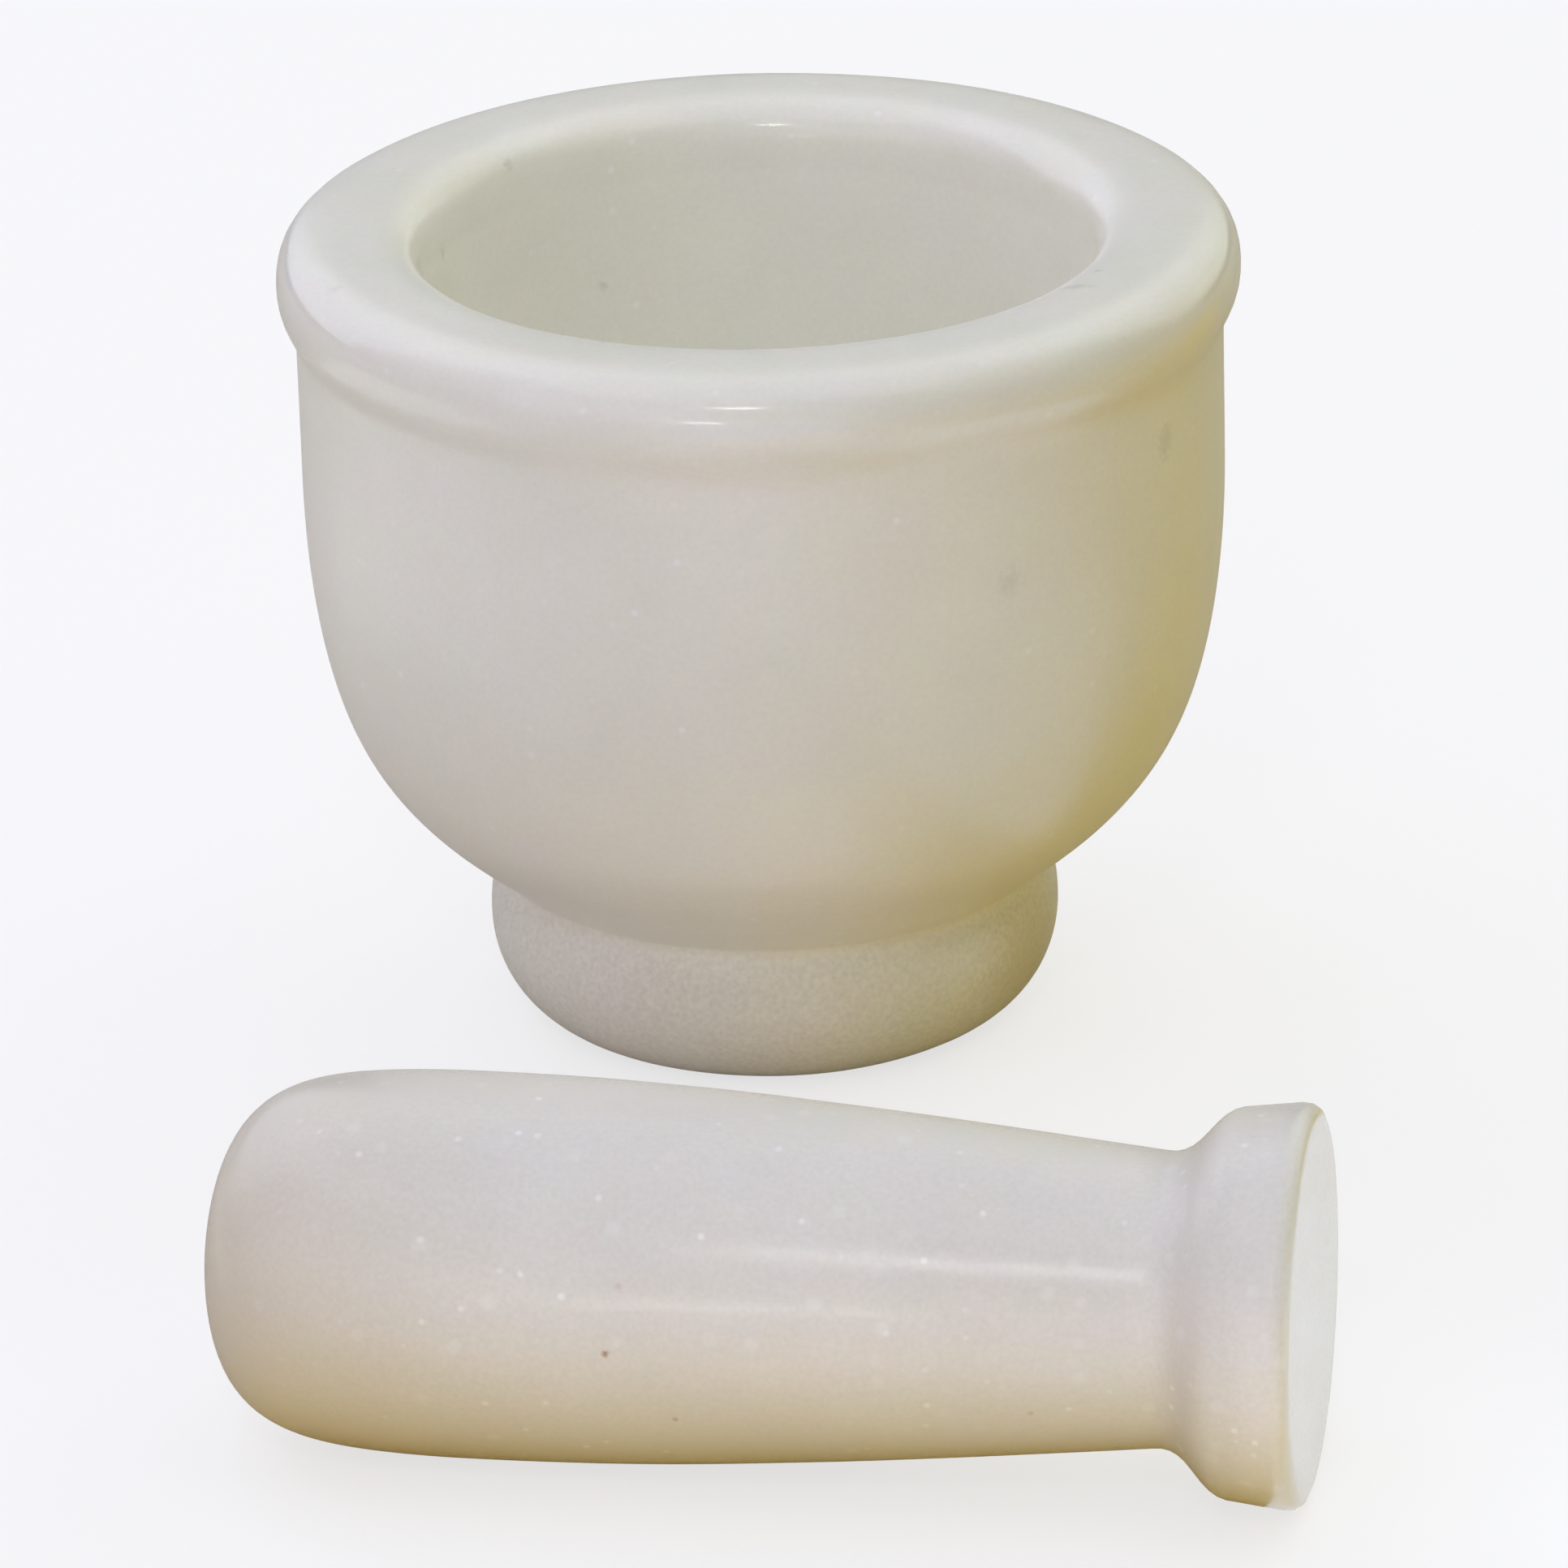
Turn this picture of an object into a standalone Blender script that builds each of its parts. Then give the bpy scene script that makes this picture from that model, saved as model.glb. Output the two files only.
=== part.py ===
"""Marble mortar and pestle: two solid turned pieces, with the pestle lying in front of the mortar.

Metres, +Z up. The origin is the centre of the mortar's foot, where it stands on the table. +X runs
to the right and +Y to the back; the pestle lies on the -Y side with its knob to the right.
"""
import math

import bpy
from mathutils import Matrix

# Mortar: radii from its turning axis, heights from the table.
MORTAR_HEIGHT = 0.0873
LIP_RADIUS = 0.0500
LIP_ROUND_TOP_RADIUS = 0.0435
LIP_ROUND_BOTTOM = 0.0818
LIP_BOTTOM = 0.0752
WALL_RADIUS = 0.0482
SHOULDER_HEIGHT = 0.0620
BOWL_BOTTOM_RADIUS = 0.0290
BOWL_BOTTOM_HEIGHT = 0.0168
BOWL_BOTTOM_SLOPE = math.radians(39)
FOOT_RADIUS = 0.0302
FOOT_WIDEST_HEIGHT = 0.0105
FOOT_TOP_RADIUS = 0.0295
FOOT_TOP_HEIGHT = 0.0161
FOOT_FACE_RADIUS = 0.0215

# The mortar's hollow.
MOUTH_RADIUS = 0.0351
MOUTH_EDGE_HEIGHT = 0.0825
RIM_INNER_RADIUS = 0.0410
HOLLOW_RADIUS = 0.0340
HOLLOW_CENTRE_HEIGHT = 0.0620
HOLLOW_FLOOR_HEIGHT = 0.0270

# Pestle: radii from its turning axis, distances from the flat face of its knob.
PESTLE_LENGTH = 0.1070
KNOB_FACE_RADIUS = 0.0178
KNOB_RADIUS = 0.0194
KNOB_EDGE = 0.0018
KNOB_BACK_RADIUS = 0.0188
KNOB_BACK = 0.0068
NECK_RADIUS = 0.0142
NECK = 0.0142
SHANK_FLARE = 0.10
BULB_RADIUS = 0.0187
BULB = 0.0800

# The reach of each curve's two handles, which sets how full the curve is.
MOUTH_HANDLES = (0.0032, 0.0040)
LIP_HANDLES = (0.0043, 0.0041)
LIP_UNDERSIDE_HANDLES = (0.0034, 0.0028)
BOWL_HANDLES = (0.0315, 0.0142)
KNOB_EDGE_HANDLES = (0.0010, 0.0012)
NECK_HANDLES = (0.0033, 0.0035)
SHANK_HANDLES = (0.0218, 0.0220)
BULB_HANDLES = (0.0195, 0.0175)

# How the pestle lies: the middle of its length, and its turn towards the front.
PESTLE_X = -0.0023
PESTLE_Y = -0.1101
PESTLE_TURN = math.radians(11)

# Sides of each turned piece, and the distance within which its seam and its poles merge.
MORTAR_SIDES = 60
PESTLE_SIDES = 40
MERGE = 0.00001

# Marble: colour, roughness and metallic value.
MORTAR_FINISH = ((0.76, 0.74, 0.70, 1.0), 0.34, 0.0)
PESTLE_FINISH = ((0.79, 0.77, 0.74, 1.0), 0.42, 0.0)

# Directions in a half section.
OUT, IN, UP, DOWN = (1, 0), (-1, 0), (0, 1), (0, -1)


def arc(centre, radii, start, end, count):
    """Points on an ellipse around centre, from angle start to end in degrees."""
    points = []
    for i in range(count + 1):
        angle = math.radians(start + (end - start) * i / count)
        points.append((centre[0] + radii[0] * math.cos(angle), centre[1] + radii[1] * math.sin(angle)))
    return points


def curve(start, leaving, end, arriving, handles, count):
    """Points on a cubic curve that leaves start and arrives at end in the given directions."""
    near = (start[0] + leaving[0] * handles[0], start[1] + leaving[1] * handles[0])
    far = (end[0] - arriving[0] * handles[1], end[1] - arriving[1] * handles[1])
    points = []
    for i in range(count + 1):
        t = i / count
        weights = ((1 - t) ** 3, 3 * t * (1 - t) ** 2, 3 * t * t * (1 - t), t ** 3)
        corners = (start, near, far, end)
        points.append(tuple(sum(w * c[k] for w, c in zip(weights, corners)) for k in range(2)))
    return points


def mortar_profile():
    """The half section as (radius, height), from the hollow's floor over the rim and down to the foot."""
    hollow_radii = (HOLLOW_RADIUS, HOLLOW_CENTRE_HEIGHT - HOLLOW_FLOOR_HEIGHT)
    foot_radii = (FOOT_RADIUS - FOOT_FACE_RADIUS, FOOT_WIDEST_HEIGHT)
    into_foot = (-math.cos(BOWL_BOTTOM_SLOPE), -math.sin(BOWL_BOTTOM_SLOPE))
    points = arc((0, HOLLOW_CENTRE_HEIGHT), hollow_radii, -90, 0, 12)
    points += curve((MOUTH_RADIUS, MOUTH_EDGE_HEIGHT), UP, (RIM_INNER_RADIUS, MORTAR_HEIGHT), OUT,
                    MOUTH_HANDLES, 6)
    points += curve((LIP_ROUND_TOP_RADIUS, MORTAR_HEIGHT), OUT, (LIP_RADIUS, LIP_ROUND_BOTTOM), DOWN,
                    LIP_HANDLES, 7)
    points += curve((LIP_RADIUS, LIP_ROUND_BOTTOM), DOWN, (WALL_RADIUS, LIP_BOTTOM), DOWN,
                    LIP_UNDERSIDE_HANDLES, 6)[1:]
    points += curve((WALL_RADIUS, SHOULDER_HEIGHT), DOWN, (BOWL_BOTTOM_RADIUS, BOWL_BOTTOM_HEIGHT),
                    into_foot, BOWL_HANDLES, 12)
    points += [(FOOT_TOP_RADIUS, FOOT_TOP_HEIGHT)]
    points += arc((FOOT_FACE_RADIUS, FOOT_WIDEST_HEIGHT), foot_radii, 0, -90, 8)
    points += [(0, 0)]
    return points


def pestle_profile():
    """The half section as (radius, height from the middle), from the knob's face down to the tip."""
    def at(radius, from_face):
        return (radius, PESTLE_LENGTH / 2 - from_face)

    flaring = (SHANK_FLARE, -1)
    points = [at(0, 0)]
    points += curve(at(KNOB_FACE_RADIUS, 0), OUT, at(KNOB_RADIUS, KNOB_EDGE), DOWN, KNOB_EDGE_HANDLES, 4)
    points += curve(at(KNOB_BACK_RADIUS, KNOB_BACK), DOWN, at(NECK_RADIUS, NECK), DOWN, NECK_HANDLES, 8)
    points += curve(at(NECK_RADIUS, NECK), flaring, at(BULB_RADIUS, BULB), DOWN, SHANK_HANDLES, 9)[1:]
    points += curve(at(BULB_RADIUS, BULB), DOWN, at(0, PESTLE_LENGTH), IN, BULB_HANDLES, 11)[1:]
    return points


def marble(name, finish):
    """A plain material with one colour, roughness and metallic value."""
    colour, roughness, metallic = finish
    material = bpy.data.materials.new(name)
    material.use_nodes = True
    shader = material.node_tree.nodes["Principled BSDF"]
    shader.inputs["Base Color"].default_value = colour
    shader.inputs["Roughness"].default_value = roughness
    shader.inputs["Metallic"].default_value = metallic
    return material


def turned(name, profile, sides, material, collection):
    """A solid of revolution about its own Z, from (radius, height) points that run down its outside."""
    mesh = bpy.data.meshes.new(name)
    edges = [(i, i + 1) for i in range(len(profile) - 1)]
    mesh.from_pydata([(radius, 0, height) for radius, height in profile], edges, [])
    mesh.materials.append(material)
    piece = bpy.data.objects.new(name, mesh)
    collection.objects.link(piece)
    screw = piece.modifiers.new("turning", "SCREW")
    screw.axis = "Z"
    screw.steps = sides
    screw.render_steps = sides
    screw.use_merge_vertices = True
    screw.merge_threshold = MERGE
    screw.use_smooth_shade = True
    return piece


def lie_down(pestle, profile):
    """Lay the pestle on the table, resting on the rim of its knob and on its bulb."""
    knob = max((point for point in profile if point[1] > 0), key=lambda point: point[0])
    bulb = max((point for point in profile if point[1] < 0), key=lambda point: point[0])
    rise = math.atan((knob[0] - bulb[0]) / (knob[1] - bulb[1]))
    turn = Matrix.Rotation(-PESTLE_TURN, 4, "Z") @ Matrix.Rotation(math.pi / 2 - rise, 4, "Y")
    lowest = min(height * math.sin(rise) - radius * math.cos(rise) for radius, height in profile)
    pestle.matrix_world = Matrix.Translation((PESTLE_X, PESTLE_Y, -lowest)) @ turn


def main():
    for old in list(bpy.data.objects):
        bpy.data.objects.remove(old)
    collection = bpy.data.collections.new("mortar_and_pestle")
    bpy.context.scene.collection.children.link(collection)

    turned("mortar", mortar_profile(), MORTAR_SIDES, marble("mortar_marble", MORTAR_FINISH), collection)
    profile = pestle_profile()
    pestle = turned("pestle", profile, PESTLE_SIDES, marble("pestle_marble", PESTLE_FINISH), collection)
    lie_down(pestle, profile)


main()
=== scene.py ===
"""Marble mortar and pestle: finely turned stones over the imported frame, their marble, lights and camera."""
import math

import bpy
import numpy as np
from mathutils import Matrix, Vector, noise


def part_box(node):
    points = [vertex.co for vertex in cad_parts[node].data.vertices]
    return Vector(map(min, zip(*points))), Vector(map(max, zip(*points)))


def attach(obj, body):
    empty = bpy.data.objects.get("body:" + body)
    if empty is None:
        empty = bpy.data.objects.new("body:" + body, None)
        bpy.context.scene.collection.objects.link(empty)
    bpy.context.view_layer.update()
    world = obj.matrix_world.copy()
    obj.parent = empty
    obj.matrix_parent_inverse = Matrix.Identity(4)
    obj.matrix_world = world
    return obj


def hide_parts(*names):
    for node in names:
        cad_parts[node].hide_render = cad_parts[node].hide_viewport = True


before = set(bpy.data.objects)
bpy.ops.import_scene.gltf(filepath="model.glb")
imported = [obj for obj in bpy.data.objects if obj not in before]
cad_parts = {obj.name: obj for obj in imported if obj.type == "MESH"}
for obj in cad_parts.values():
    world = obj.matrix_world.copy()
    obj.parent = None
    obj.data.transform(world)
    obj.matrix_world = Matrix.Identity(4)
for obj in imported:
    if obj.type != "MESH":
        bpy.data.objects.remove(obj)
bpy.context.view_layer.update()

MM = 0.001

# Overall sizes, from the frame.
mortar_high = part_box("mortar")[1]
RIM_RADIUS = mortar_high.x
MORTAR_HEIGHT = mortar_high.z

# Mortar: radii from its axis and heights from the table.
LIP_ROUND_TOP_RADIUS = 0.0435
LIP_ROUND_BOTTOM = 0.0818
LIP_BOTTOM = 0.0752
WALL_RADIUS = 0.0482
SHOULDER_HEIGHT = 0.0620
BOWL_BOTTOM_RADIUS = 0.0290
BOWL_BOTTOM_HEIGHT = 0.0168
BOWL_BOTTOM_SLOPE = math.radians(39)
CREASE_RADIUS = 0.0291
CREASE_DIRECTION = (0.5, -1)
FOOT_RADIUS = 0.0302
FOOT_WIDEST_HEIGHT = 0.0105
FOOT_TOP_HEIGHT = 0.0160
FOOT_FACE_RADIUS = 0.0215
MOUTH_RADIUS = 0.0351
MOUTH_EDGE_HEIGHT = 0.0825
RIM_INNER_RADIUS = 0.0410
HOLLOW_RADIUS = 0.0340
HOLLOW_CENTRE_HEIGHT = 0.0620
HOLLOW_FLOOR_HEIGHT = 0.0270

# Pestle: radii from its axis and distances from the flat face of its knob.
PESTLE_LENGTH = 0.1070
KNOB_FACE_RADIUS = 0.0178
KNOB_RADIUS = 0.0194
KNOB_EDGE = 0.0018
KNOB_BACK_RADIUS = 0.0188
KNOB_BACK = 0.0068
NECK_RADIUS = 0.0142
NECK = 0.0142
SHANK_FLARE = 0.10
BULB_RADIUS = 0.0187
BULB = 0.0800
PESTLE_MIDDLE = (-0.0023, -0.1101)
PESTLE_TURN = math.radians(11)

# The reach of each curve's two handles.
MOUTH_HANDLES = (0.0032, 0.0040)
LIP_HANDLES = (0.0043, 0.0041)
LIP_UNDERSIDE_HANDLES = (0.0034, 0.0028)
BOWL_HANDLES = (0.0315, 0.0142)
FOOT_TOP_HANDLES = (0.0016, 0.0024)
KNOB_EDGE_HANDLES = (0.0010, 0.0012)
NECK_HANDLES = (0.0033, 0.0035)
SHANK_HANDLES = (0.0218, 0.0220)
BULB_HANDLES = (0.0195, 0.0175)

OUT, IN, UP, DOWN = (1, 0), (-1, 0), (0, 1), (0, -1)

# How finely the stones are cut up, and how deep and how wide the hand-polished dips in them are.
MESH_STEP = 0.9 * MM
MORTAR_SIDES = 320
PESTLE_SIDES = 200
DIP_DEPTH = 0.12 * MM
MORTAR_DIP_SIZE = 16 * MM
PESTLE_DIP_SIZE = 11 * MM


# ---------------------------------------------------------------- turned shapes
def arc(centre, radii, start, end, count):
    """Points on an ellipse around centre, from angle start to end in degrees."""
    angles = np.radians(np.linspace(start, end, count + 1))
    return np.stack([centre[0] + radii[0] * np.cos(angles), centre[1] + radii[1] * np.sin(angles)], -1)


def curve(start, leaving, end, arriving, handles, count):
    """Points on a cubic curve that leaves start and arrives at end in the given directions."""
    corners = np.array([start, start, end, end], float)
    corners[1] += np.array(leaving) * handles[0]
    corners[2] -= np.array(arriving) * handles[1]
    t = np.linspace(0, 1, count + 1)[:, None]
    weights = ((1 - t) ** 3, 3 * t * (1 - t) ** 2, 3 * t * t * (1 - t), t ** 3)
    return sum(w * c for w, c in zip(weights, corners))


def evenly(points, step):
    """The same outline with a point about every step, so that fine relief has vertices to move."""
    points = [points[0]] + [b for a, b in zip(points, points[1:]) if np.linalg.norm(b - a) > 1e-7]
    lengths = [np.linalg.norm(b - a) for a, b in zip(points, points[1:])]
    along = np.concatenate([[0], np.cumsum(lengths)])
    places = np.linspace(0, along[-1], max(2, round(along[-1] / step)) + 1)
    columns = [np.interp(places, along, np.array(points)[:, k]) for k in range(2)]
    return np.stack(columns, -1)


def mortar_profile():
    """The half section as (radius, height), from the hollow's floor over the rim and down to the foot."""
    hollow_radii = (HOLLOW_RADIUS, HOLLOW_CENTRE_HEIGHT - HOLLOW_FLOOR_HEIGHT)
    foot_radii = (FOOT_RADIUS - FOOT_FACE_RADIUS, FOOT_WIDEST_HEIGHT)
    into_foot = (-math.cos(BOWL_BOTTOM_SLOPE), -math.sin(BOWL_BOTTOM_SLOPE))
    mouth_edge, lip_widest = (MOUTH_RADIUS, MOUTH_EDGE_HEIGHT), (RIM_RADIUS, LIP_ROUND_BOTTOM)
    bowl_bottom = (BOWL_BOTTOM_RADIUS, BOWL_BOTTOM_HEIGHT)
    foot_top, foot_widest = (CREASE_RADIUS, FOOT_TOP_HEIGHT), (FOOT_RADIUS, FOOT_WIDEST_HEIGHT)
    parts = [
        arc((0, HOLLOW_CENTRE_HEIGHT), hollow_radii, -90, 0, 60),
        curve(mouth_edge, UP, (RIM_INNER_RADIUS, MORTAR_HEIGHT), OUT, MOUTH_HANDLES, 30),
        curve((LIP_ROUND_TOP_RADIUS, MORTAR_HEIGHT), OUT, lip_widest, DOWN, LIP_HANDLES, 30),
        curve(lip_widest, DOWN, (WALL_RADIUS, LIP_BOTTOM), DOWN, LIP_UNDERSIDE_HANDLES, 20),
        curve((WALL_RADIUS, SHOULDER_HEIGHT), DOWN, bowl_bottom, into_foot, BOWL_HANDLES, 60),
        curve(foot_top, CREASE_DIRECTION, foot_widest, DOWN, FOOT_TOP_HANDLES, 10),
        arc((FOOT_FACE_RADIUS, FOOT_WIDEST_HEIGHT), foot_radii, 0, -90, 30),
        np.array([(0, 0)]),
    ]
    return np.concatenate(parts)


def pestle_profile():
    """The half section as (radius, height from the middle), from the knob's face down to the tip."""
    def at(radius, from_face):
        return (radius, PESTLE_LENGTH / 2 - from_face)

    parts = [
        np.array([at(0, 0)]),
        curve(at(KNOB_FACE_RADIUS, 0), OUT, at(KNOB_RADIUS, KNOB_EDGE), DOWN, KNOB_EDGE_HANDLES, 12),
        curve(at(KNOB_BACK_RADIUS, KNOB_BACK), DOWN, at(NECK_RADIUS, NECK), DOWN, NECK_HANDLES, 30),
        curve(at(NECK_RADIUS, NECK), (SHANK_FLARE, -1), at(BULB_RADIUS, BULB), DOWN, SHANK_HANDLES, 60),
        curve(at(BULB_RADIUS, BULB), DOWN, at(0, PESTLE_LENGTH), IN, BULB_HANDLES, 40),
    ]
    return np.concatenate(parts)


def turned(name, profile, sides):
    """A closed solid of revolution about its own Z, from a profile that runs down its outside."""
    rings = profile[1:-1]
    angles = np.arange(sides) * 2 * math.pi / sides
    around = np.stack([np.cos(angles), np.sin(angles)], -1)
    flat = (rings[:, None, :1] * around[None]).reshape(-1, 2)
    heights = np.repeat(rings[:, 1], sides)[:, None]
    points = np.concatenate([np.hstack([flat, heights]), [(0, 0, profile[0, 1]), (0, 0, profile[-1, 1])]])
    first, last = len(points) - 2, len(points) - 1
    after = (np.arange(sides) + 1) % sides
    faces = [(first, k, after[k]) for k in range(sides)]
    for ring in range(len(rings) - 1):
        top, low = ring * sides, (ring + 1) * sides
        faces += [(top + k, low + k, low + after[k], top + after[k]) for k in range(sides)]
    bottom = (len(rings) - 1) * sides
    faces += [(bottom + k, last, bottom + after[k]) for k in range(sides)]
    mesh = bpy.data.meshes.new(name)
    mesh.from_pydata(points.tolist(), [], [[int(v) for v in face] for face in faces])
    mesh.shade_smooth()
    piece = bpy.data.objects.new(name, mesh)
    bpy.context.scene.collection.objects.link(piece)
    return piece


# ---------------------------------------------------------------- pieces
def worn(piece, depth, size):
    """Press the surface in by up to depth, in soft hand-polished dips about size across."""
    mesh = piece.data
    normals = [vertex.normal.copy() for vertex in mesh.vertices]
    for vertex, normal in zip(mesh.vertices, normals):
        dip = 0.5 + 0.5 * noise.noise(vertex.co / size)
        vertex.co -= normal * depth * min(1, max(0, dip))
    mesh.update()


def lie_down(piece, profile):
    """Lay the pestle on the table, resting on the rim of its knob and on its bulb."""
    knob = max((p for p in profile if p[1] > 0), key=lambda p: p[0])
    bulb = max((p for p in profile if p[1] < 0), key=lambda p: p[0])
    rise = math.atan((knob[0] - bulb[0]) / (knob[1] - bulb[1]))
    turn = Matrix.Rotation(-PESTLE_TURN, 4, "Z") @ Matrix.Rotation(math.pi / 2 - rise, 4, "Y")
    lowest = min(height * math.sin(rise) - radius * math.cos(rise) for radius, height in profile)
    piece.data.transform(Matrix.Translation((*PESTLE_MIDDLE, -lowest)) @ turn)


mortar = turned("mortar_stone", evenly(mortar_profile(), MESH_STEP), MORTAR_SIDES)
pestle = turned("pestle_stone", evenly(pestle_profile(), MESH_STEP), PESTLE_SIDES)
lie_down(pestle, pestle_profile())
worn(mortar, DIP_DEPTH, MORTAR_DIP_SIZE)
worn(pestle, DIP_DEPTH, PESTLE_DIP_SIZE)
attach(mortar, "mortar")
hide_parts("mortar")
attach(pestle, "pestle")
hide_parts("pestle")


# ---------------------------------------------------------------- marble
GRAIN_SIZE = 0.55 * MM
# How deep light goes into the stone, and the share of that depth for red, green and blue.
LIGHT_DEPTH = 2.2 * MM
LIGHT_DEPTH_SHARES = (1.0, 0.9, 0.75)

MORTAR_WHITE = (0.92, 0.91, 0.83)
PESTLE_WHITE = (0.85, 0.83, 0.785)
FLECK = (0.98, 0.98, 0.96)
# Grey for the small stains, and for the painted shade in the pestle's neck.
STAIN_AND_SHADE = (0.40, 0.40, 0.33)
# Painted warm shade: the patches where the stone is drawn darker and yellower, as shadow and warm bounce
# light would make it.
PAINTED_WARM_SHADE = (0.62, 0.50, 0.26)
RUST = (0.42, 0.22, 0.08)


class Marble:
    """A crystalline stone in layers: soft clouds, sugar-like grains, pale flecks, a few stains and some
    patches of painted shade.
    """

    def __init__(self, name, colour):
        self.material = bpy.data.materials.new(name)
        self.material.use_nodes = True
        self.tree = self.material.node_tree
        self.shader = self.tree.nodes["Principled BSDF"]
        self.place = self.add("TexCoord").outputs["Object"]
        self.colour = self.add("RGB").outputs[0]
        self.colour.default_value = (*colour, 1)
        self.grain = self.cloud(GRAIN_SIZE, 1.0)[0]
        self.shader.subsurface_method = "BURLEY"
        self.shader.inputs["Subsurface Weight"].default_value = 1.0
        self.shader.inputs["Subsurface Radius"].default_value = LIGHT_DEPTH_SHARES
        self.shader.inputs["Subsurface Scale"].default_value = LIGHT_DEPTH

    def add(self, kind, settings=None, **inputs):
        """A new node. Each input is a value or another node's output, by its name or as slot_NUMBER."""
        node = self.tree.nodes.new("ShaderNode" + kind)
        for key, value in (settings or {}).items():
            setattr(node, key, value)
        for key, value in inputs.items():
            numbered = key.startswith("slot_")
            socket = node.inputs[int(key[5:]) if numbered else key.replace("_", " ")]
            if isinstance(value, bpy.types.NodeSocket):
                self.tree.links.new(value, socket)
            else:
                socket.default_value = value
        return node

    def math(self, operation, *values):
        """One number worked out from values or other nodes' outputs."""
        slots = {f"slot_{number}": value for number, value in enumerate(values)}
        return self.add("Math", {"operation": operation}, **slots).outputs[0]

    def vector(self, operation, *values):
        """The outputs of a vector operation on values or other nodes' outputs."""
        slots = {f"slot_{number}": value for number, value in enumerate(values)}
        return self.add("VectorMath", {"operation": operation}, **slots).outputs

    def fit(self, value, low, high, to_low=0.0, to_high=1.0):
        """The value moved smoothly from one range to another."""
        ends = {"slot_1": low, "slot_2": high, "slot_3": to_low, "slot_4": to_high}
        return self.add("MapRange", {"interpolation_type": "SMOOTHSTEP"}, slot_0=value, **ends).outputs[0]

    def height(self, low, high):
        """A mask that rises from 0 to 1 between two heights above the table."""
        split = self.add("SeparateXYZ", Vector=self.place)
        return self.fit(split.outputs[2], low, high)

    def cloud(self, size, detail):
        """Soft noise from about -1 to 1, as one value and as a colour, with features about size across."""
        noise_settings = {"normalize": False}
        return self.add("TexNoise", noise_settings, Vector=self.place, Scale=1 / size, Detail=detail).outputs

    def tint(self, mask, colour, how="MIX"):
        """Mix a colour over the marble's colour where the mask is 1."""
        colour = colour if isinstance(colour, bpy.types.NodeSocket) else (*colour, 1)
        settings = {"data_type": "RGBA", "blend_type": how}
        self.colour = self.add("Mix", settings, slot_0=mask, slot_6=self.colour, slot_7=colour).outputs[2]

    def vary(self, value, amounts):
        """Lighten or darken each colour channel by the value times its amount."""
        self.tint(1.0, self.vector("MULTIPLY_ADD", value, amounts, (1, 1, 1))[0], "MULTIPLY")

    def spot(self, centre, radii, colour, strength, ragged):
        """A patch of colour at a place on the piece, in millimetres, with a soft edge that the grain makes
        ragged; it draws the stains and also the patches of painted shade.
        """
        away = self.vector("SUBTRACT", self.place, tuple(value * MM for value in centre))[0]
        scaled = self.vector("MULTIPLY", away, tuple(1 / (radius * MM) for radius in radii))[0]
        length = self.vector("LENGTH", scaled)["Value"]
        edge = self.math("MULTIPLY_ADD", self.grain, ragged, length)
        self.tint(self.fit(edge, 1.1, 0.1, 0.0, strength), colour)

    def flecks(self, spacing, share, radius, strength):
        """Pale crystals of a radius that catch the light, in a share of the cells of the given spacing."""
        cells = self.add("TexVoronoi", Vector=self.place, Scale=1 / spacing)
        pick = self.add("SeparateColor", Color=cells.outputs["Color"]).outputs[0]
        chosen = self.fit(pick, 1 - share, 1)
        near = self.fit(cells.outputs["Distance"], radius / spacing, 0.3 * radius / spacing)
        mask = self.math("MULTIPLY", chosen, near)
        self.tint(self.math("MULTIPLY", mask, strength), FLECK)

    def finish(self, roughness, shine, shine_roughness):
        """Hand the layers to the shader, under a thin polished coat whose weight is shine."""
        self.shader.inputs["Coat Roughness"].default_value = shine_roughness
        self.tree.links.new(self.colour, self.shader.inputs["Base Color"])
        self.tree.links.new(roughness, self.shader.inputs["Roughness"])
        self.tree.links.new(shine, self.shader.inputs["Coat Weight"])
        return self.material


# Spots by centre and radii in millimetres, colour, strength, and how ragged the edge is.
MORTAR_SPOTS = (
    ((32.0, -23.0, 87.2), (2.6, 0.9, 2.0), STAIN_AND_SHADE, 0.25, 0.35),
    ((34.5, -18.5, 87.0), (0.6, 0.6, 1.0), STAIN_AND_SHADE, 0.25, 0.35),
    ((41.0, -25.5, 71.0), (1.6, 2.0, 2.6), STAIN_AND_SHADE, 0.20, 0.35),
    ((24.5, -41.5, 62.5), (1.8, 1.5, 2.2), STAIN_AND_SHADE, 0.14, 0.35),
    ((-26.5, 24.5, 85.0), (0.9, 0.9, 0.9), STAIN_AND_SHADE, 0.30, 0.35),
    ((-33.0, 11.5, 80.0), (0.7, 0.7, 1.0), STAIN_AND_SHADE, 0.25, 0.35),
    ((-16.5, 30.0, 69.0), (0.8, 0.8, 0.8), STAIN_AND_SHADE, 0.22, 0.35),
    ((-43.0, -17.5, 87.0), (1.4, 0.9, 1.5), STAIN_AND_SHADE, 0.12, 0.35),
    # Painted shade on the foot's right side: darker and yellower there, as shadow and warm bounce light would
    # make it.
    ((31.0, -16.0, 8.0), (13.0, 17.0, 12.0), PAINTED_WARM_SHADE, 0.65, 0.08),
)
PESTLE_SPOTS = (
    ((-17.0, -126.0, 19.2), (0.55, 0.6, 0.55), RUST, 0.8, 0.35),
    ((-10.5, -125.5, 11.8), (0.4, 0.6, 0.4), RUST, 0.5, 0.35),
    ((-15.5, -125.0, 25.7), (0.6, 0.8, 0.6), RUST, 0.2, 0.35),
    ((23.0, -129.5, 13.5), (0.4, 0.6, 0.4), STAIN_AND_SHADE, 0.4, 0.35),
    # Painted shade on the bulb's end: darker and yellower there, as shade and warm bounce light would make
    # it.
    ((-58.0, -99.0, 12.0), (42.0, 48.0, 42.0), PAINTED_WARM_SHADE, 0.50, 0.04),
    # Painted shade in the neck under the knob: a darker band across the pestle there.
    ((38.5, -118.0, 17.0), (5.5, 40.0, 40.0), STAIN_AND_SHADE, 0.28, 0.05),
)


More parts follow.
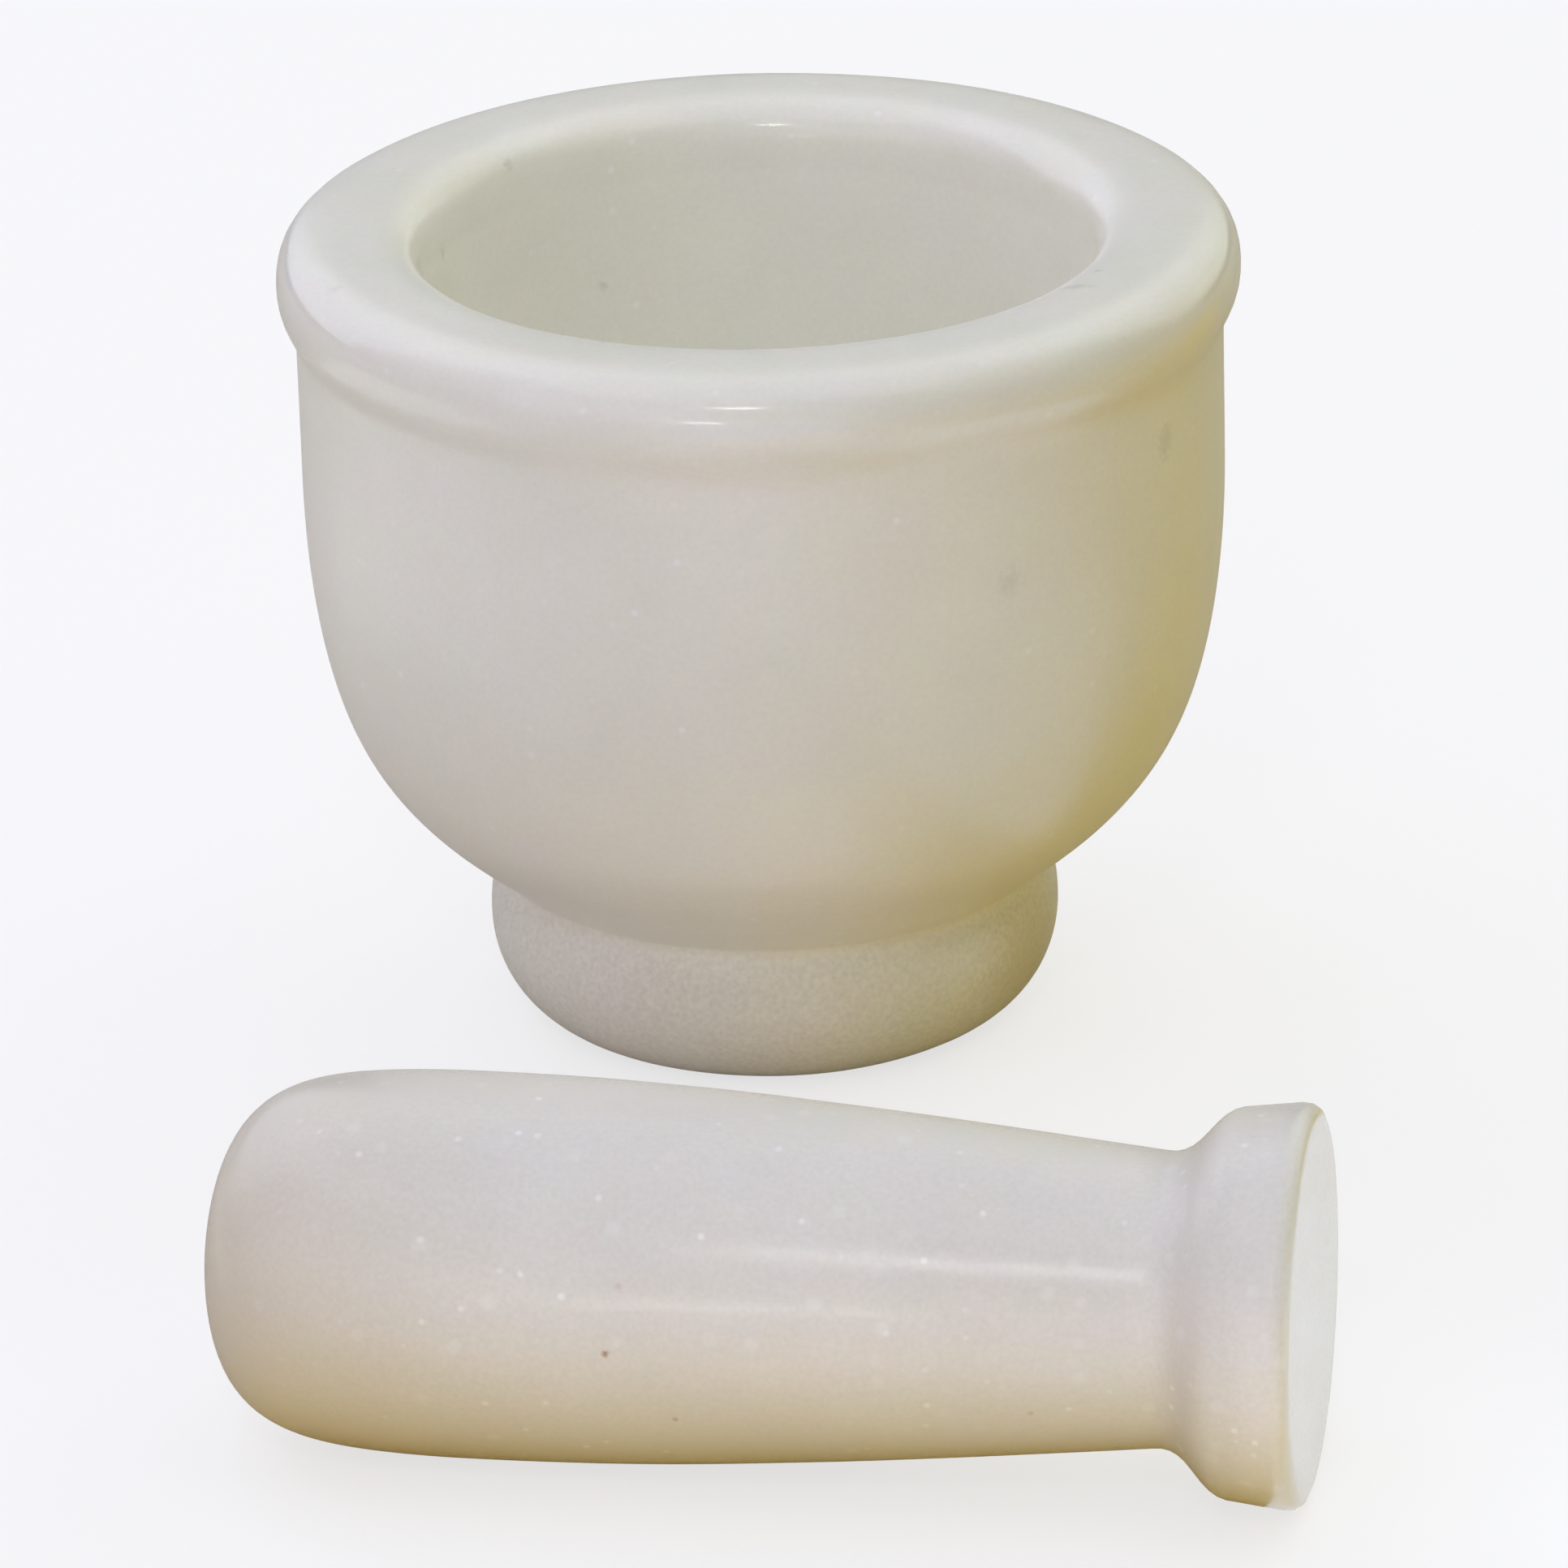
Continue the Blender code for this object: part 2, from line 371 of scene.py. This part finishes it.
def mortar_marble():
    """Polished above the foot, most of all on the lip; the foot is left coarser, so its grain shows more."""
    stone = Marble("mortar_stone", MORTAR_WHITE)
    coarse = stone.height(19 * MM, 15 * MM)
    lip = stone.math("MULTIPLY", stone.height(79 * MM, 81 * MM), stone.height(86.4 * MM, 85.4 * MM))
    blotches = stone.cloud(8 * MM, 1.0)
    grain_amount = stone.math("MULTIPLY_ADD", coarse, 0.06, 0.024)
    stone.vary(stone.cloud(24 * MM, 3.0)[0], (0.030, 0.028, 0.038))
    stone.vary(blotches[1], (0.014, 0.010, 0.018))
    stone.vary(stone.math("MULTIPLY", stone.grain, grain_amount), (1.0, 1.0, 1.1))
    stone.flecks(2.2 * MM, 0.12, 0.55 * MM, 1.0)
    for spot in MORTAR_SPOTS:
        stone.spot(*spot)
    polish = stone.math("MULTIPLY_ADD", blotches[0], 0.03, 0.36)
    roughness = stone.math("MULTIPLY_ADD", coarse, 0.10, polish)
    shine = stone.math("MULTIPLY_ADD", lip, 0.70, 0.10)
    return stone.finish(roughness, shine, 0.13)


def pestle_marble():
    """A slightly pinker stone with a satin skin, where the grains show all over."""
    stone = Marble("pestle_stone", PESTLE_WHITE)
    blotches = stone.cloud(7 * MM, 1.0)
    stone.vary(stone.cloud(20 * MM, 3.0)[0], (0.030, 0.029, 0.038))
    stone.vary(blotches[1], (0.015, 0.010, 0.018))
    stone.vary(stone.grain, (0.050, 0.050, 0.056))
    stone.flecks(1.9 * MM, 0.20, 0.5 * MM, 1.0)
    stone.flecks(3.1 * MM, 0.60, 1.1 * MM, 0.35)
    for spot in PESTLE_SPOTS:
        stone.spot(*spot)
    roughness = stone.math("MULTIPLY_ADD", blotches[0], 0.04, 0.40)
    shine = stone.math("MULTIPLY_ADD", stone.grain, 0.30, 0.40)
    return stone.finish(roughness, shine, 0.20)


mortar.data.materials.append(mortar_marble())
pestle.data.materials.append(pestle_marble())


# ---------------------------------------------------------------- stage
FLOOR_SIZE = 12
BACKDROP_RADIUS = 5.8
TABLE_DROP = 0.3 * MM
CARD_RISE = 0.5 * MM
KNOB_CARD_SIZE = 0.12
KNOB_CARD_PLACE = (0.105, -0.078, CARD_RISE)

BLACK = (0, 0, 0)
FLOOR_COLOUR, FLOOR_GLOW = (0.30, 0.30, 0.32), (0.70, 0.70, 0.70)
BACKDROP_GLOW = (0.92, 0.92, 0.92)
KNOB_CARD_GLOW = (1.10, 1.18, 1.40)
OCHRE = (0.72, 0.54, 0.08)
PALE = (0.60, 0.56, 0.49)
# Where the ochre begins and where it is full: by distance from a point, and towards the front right.
OCHRE_EDGES = (("DISTANCE", (0.20, -0.05, 0), 0.36, 0.26), ("DOT_PRODUCT", (0.7, -0.7, 0), 0.01, 0.06))


def flat_material(name, colour, glow):
    """A matt material with an even glow of its own."""
    material = bpy.data.materials.new(name)
    material.use_nodes = True
    shader = material.node_tree.nodes["Principled BSDF"]
    shader.inputs["Base Color"].default_value = (*colour, 1)
    shader.inputs["Roughness"].default_value = 1.0
    shader.inputs["Specular IOR Level"].default_value = 0.0
    shader.inputs["Emission Color"].default_value = (*glow, 1)
    shader.inputs["Emission Strength"].default_value = 1.0
    return material


def table_material():
    """A pale table top that is ochre around the pestle and on the mortar's right."""
    material = flat_material("table_top", PALE, BLACK)
    nodes, links = material.node_tree.nodes, material.node_tree.links
    place = nodes.new("ShaderNodeTexCoord").outputs["Object"]
    masks = []
    for operation, point, start, end in OCHRE_EDGES:
        measure = nodes.new("ShaderNodeVectorMath")
        measure.operation = operation
        measure.inputs[1].default_value = point
        links.new(place, measure.inputs[0])
        edge = nodes.new("ShaderNodeMapRange")
        edge.interpolation_type = "SMOOTHSTEP"
        edge.inputs["From Min"].default_value = start
        edge.inputs["From Max"].default_value = end
        links.new(measure.outputs["Value"], edge.inputs["Value"])
        masks.append(edge.outputs[0])
    both = nodes.new("ShaderNodeMath")
    both.operation = "MULTIPLY"
    links.new(masks[0], both.inputs[0])
    links.new(masks[1], both.inputs[1])
    mix = nodes.new("ShaderNodeMix")
    mix.data_type = "RGBA"
    mix.inputs[6].default_value = (*PALE, 1)
    mix.inputs[7].default_value = (*OCHRE, 1)
    links.new(both.outputs[0], mix.inputs[0])
    links.new(mix.outputs[2], nodes["Principled BSDF"].inputs["Base Color"])
    return material


def staged(name, material, hidden_from):
    """Name the mesh that was just added, give it its material, and hide it from some kinds of light ray."""
    thing = bpy.context.object
    thing.name = name
    thing.data.materials.append(material)
    for kind in hidden_from:
        setattr(thing, "visible_" + kind, False)


def stage():
    """A floor and a backdrop for the camera alone, and just under them a table top for the light alone."""
    all_but_camera = ("diffuse", "glossy", "transmission", "shadow")
    bpy.ops.mesh.primitive_plane_add(size=FLOOR_SIZE, location=(0, 0, 0))
    staged("floor", flat_material("floor", FLOOR_COLOUR, FLOOR_GLOW), all_but_camera)
    bpy.ops.mesh.primitive_uv_sphere_add(segments=64, ring_count=32, radius=BACKDROP_RADIUS)
    staged("backdrop", flat_material("backdrop", BLACK, BACKDROP_GLOW), all_but_camera)
    bpy.ops.mesh.primitive_plane_add(size=FLOOR_SIZE, location=(0, 0, -TABLE_DROP))
    staged("table_top", table_material(), ("camera",))


def knob_card():
    """A white card on the table that shows only in reflections, to keep the knob's flat face white."""
    bpy.ops.mesh.primitive_plane_add(size=KNOB_CARD_SIZE, location=KNOB_CARD_PLACE)
    staged("knob_card", flat_material("knob_card", BLACK, KNOB_CARD_GLOW), ("camera", "diffuse", "shadow"))


stage()
knob_card()


# ---------------------------------------------------------------- lights
def softbox(name, place, aim, size, watts, colour):
    """An area light at place that faces aim and isn't seen itself; size is its width and height."""
    lamp = bpy.data.lights.new(name, "AREA")
    lamp.shape = "RECTANGLE"
    lamp.size, lamp.size_y = size
    lamp.energy = watts
    lamp.color = colour
    light = bpy.data.objects.new(name, lamp)
    bpy.context.scene.collection.objects.link(light)
    light.location = place
    light.rotation_euler = (Vector(aim) - Vector(place)).to_track_quat("-Z", "Y").to_euler()
    light.visible_camera = False


MIDDLE = (0, -0.04, 0.04)
KNOB_FACE = (0.05, -0.1225, 0.019)
LIP_FRONT = (-0.006, -0.050, 0.083)
SHANK_TOP = (0.018, -0.127, 0.028)
# Each softbox: place, aim, width and height, watts, colour.
SOFTBOXES = {
    "top": ((0, -0.04, 0.9), MIDDLE, (1.2, 1.2), 4.10, (0.82, 0.84, 1)),
    "front": ((0, -0.9, 0.16), MIDDLE, (0.8, 0.3), 0.38, (0.92, 0.94, 1)),
    "front_high": ((0, -0.6, 0.85), MIDDLE, (0.8, 0.8), 0.25, (0.93, 1, 0.90)),
    "front_left": ((-0.65, -0.8, 0.35), MIDDLE, (0.9, 0.7), 1.30, (0.95, 0.86, 1)),
    "left_high": ((-0.7, -0.3, 0.75), MIDDLE, (0.7, 0.7), 0.37, (0.80, 0.66, 1)),
    "right_high": ((0.7, -0.3, 0.75), MIDDLE, (0.7, 0.7), 0.60, (1, 0.97, 0.35)),
    "back_left": ((-0.6, 0.6, 0.6), MIDDLE, (1.1, 1.1), 4.0, (0.87, 0.90, 1)),
    "back_right": ((0.6, 0.6, 0.6), MIDDLE, (1.1, 1.1), 3.6, (0.96, 0.98, 0.86)),
    "lip_glint": ((-0.22, -0.91, 0.13), LIP_FRONT, (0.13, 0.018), 0.24, (1, 1, 1)),
    "knob_fill": ((0.086, -0.131, 0.024), KNOB_FACE, (0.035, 0.035), 0.0030, (0.70, 0.80, 1)),
    "shank_streak": ((-0.09, -0.78, 0.64), SHANK_TOP, (0.15, 0.09), 0.60, (0.97, 0.97, 1)),
}
# Square cards that lie on the table and shine straight up: place, size, watts, colour of each.
BOUNCE_CARDS = {
    "card_front": ((0.0, -0.24), 0.18, 0.070, (0.70, 0.74, 1)),
    "card_left": ((-0.22, 0.0), 0.18, 0.055, (0.90, 1, 0.92)),
    "card_between": ((0.0, -0.068), 0.04, 0.0027, (0.6, 0.6, 1)),
    "card_front_far": ((0.0, -0.5), 0.30, 0.5, (0.25, 0.28, 1)),
}
for name, (place, aim, size, watts, colour) in SOFTBOXES.items():
    softbox(name, place, aim, size, watts, colour)
for name, (place, size, watts, colour) in BOUNCE_CARDS.items():
    softbox(name, (*place, CARD_RISE), (*place, 1), (size, size), watts, colour)

# Each side of the sky: its direction and its colour at full strength.
SKY = {
    "right": ((1, 0, 0), (0.14, 0.12, 0.03)),
    "left": ((-1, 0, 0), (0.29, 0.25, 0.28)),
    "front": ((0, -1, 0), (0.25, 0.255, 0.25)),
}


def soft_sky(sides):
    """A world lit from a few sides: each side's colour fades with the square of the angle's cosine."""
    world = bpy.data.worlds.new("studio")
    bpy.context.scene.world = world
    world.use_nodes = True
    nodes, links = world.node_tree.nodes, world.node_tree.links
    direction = nodes.new("ShaderNodeTexCoord").outputs["Generated"]
    total = None
    for side, colour in sides.values():
        facing = nodes.new("ShaderNodeVectorMath")
        facing.operation = "DOT_PRODUCT"
        links.new(direction, facing.inputs[0])
        facing.inputs[1].default_value = side
        lit = nodes.new("ShaderNodeMath")
        lit.operation = "MAXIMUM"
        lit.inputs[1].default_value = 0
        links.new(facing.outputs["Value"], lit.inputs[0])
        square = nodes.new("ShaderNodeMath")
        square.operation = "POWER"
        square.inputs[1].default_value = 2
        links.new(lit.outputs[0], square.inputs[0])
        tint = nodes.new("ShaderNodeVectorMath")
        tint.operation = "SCALE"
        tint.inputs[0].default_value = colour
        links.new(square.outputs[0], tint.inputs["Scale"])
        if total is None:
            total = tint.outputs[0]
            continue
        add = nodes.new("ShaderNodeVectorMath")
        add.operation = "ADD"
        links.new(total, add.inputs[0])
        links.new(tint.outputs[0], add.inputs[1])
        total = add.outputs[0]
    links.new(total, nodes["Background"].inputs["Color"])


soft_sky(SKY)


# ---------------------------------------------------------------- camera
CAMERA_ELEVATION = math.radians(23.08)
CAMERA_ROLL = math.radians(-1.48)
CAMERA_DISTANCE = 1.0335
CAMERA_TARGET = Vector((0.00127, 0, 0.02343))
LENS_MM = 224
SENSOR_MM = 36
NEAREST_SEEN = 0.05
FARTHEST_SEEN = 30


def camera():
    """A long lens in front of the mortar that looks down on it, very slightly rolled."""
    sine, cosine = math.sin(CAMERA_ELEVATION), math.cos(CAMERA_ELEVATION)
    forward, up, right = Vector((0, cosine, -sine)), Vector((0, sine, cosine)), Vector((1, 0, 0))
    tilted_right = right * math.cos(CAMERA_ROLL) + up * math.sin(CAMERA_ROLL)
    tilted_up = up * math.cos(CAMERA_ROLL) - right * math.sin(CAMERA_ROLL)
    data = bpy.data.cameras.new("camera")
    data.lens = LENS_MM
    data.sensor_width = SENSOR_MM
    data.clip_start = NEAREST_SEEN
    data.clip_end = FARTHEST_SEEN
    seen = bpy.data.objects.new("camera", data)
    bpy.context.scene.collection.objects.link(seen)
    rotation = Matrix((tilted_right, tilted_up, -forward)).transposed().to_4x4()
    seen.matrix_world = Matrix.Translation(CAMERA_TARGET - forward * CAMERA_DISTANCE) @ rotation
    bpy.context.scene.camera = seen


camera()
bpy.context.scene.view_settings.view_transform = "Standard"
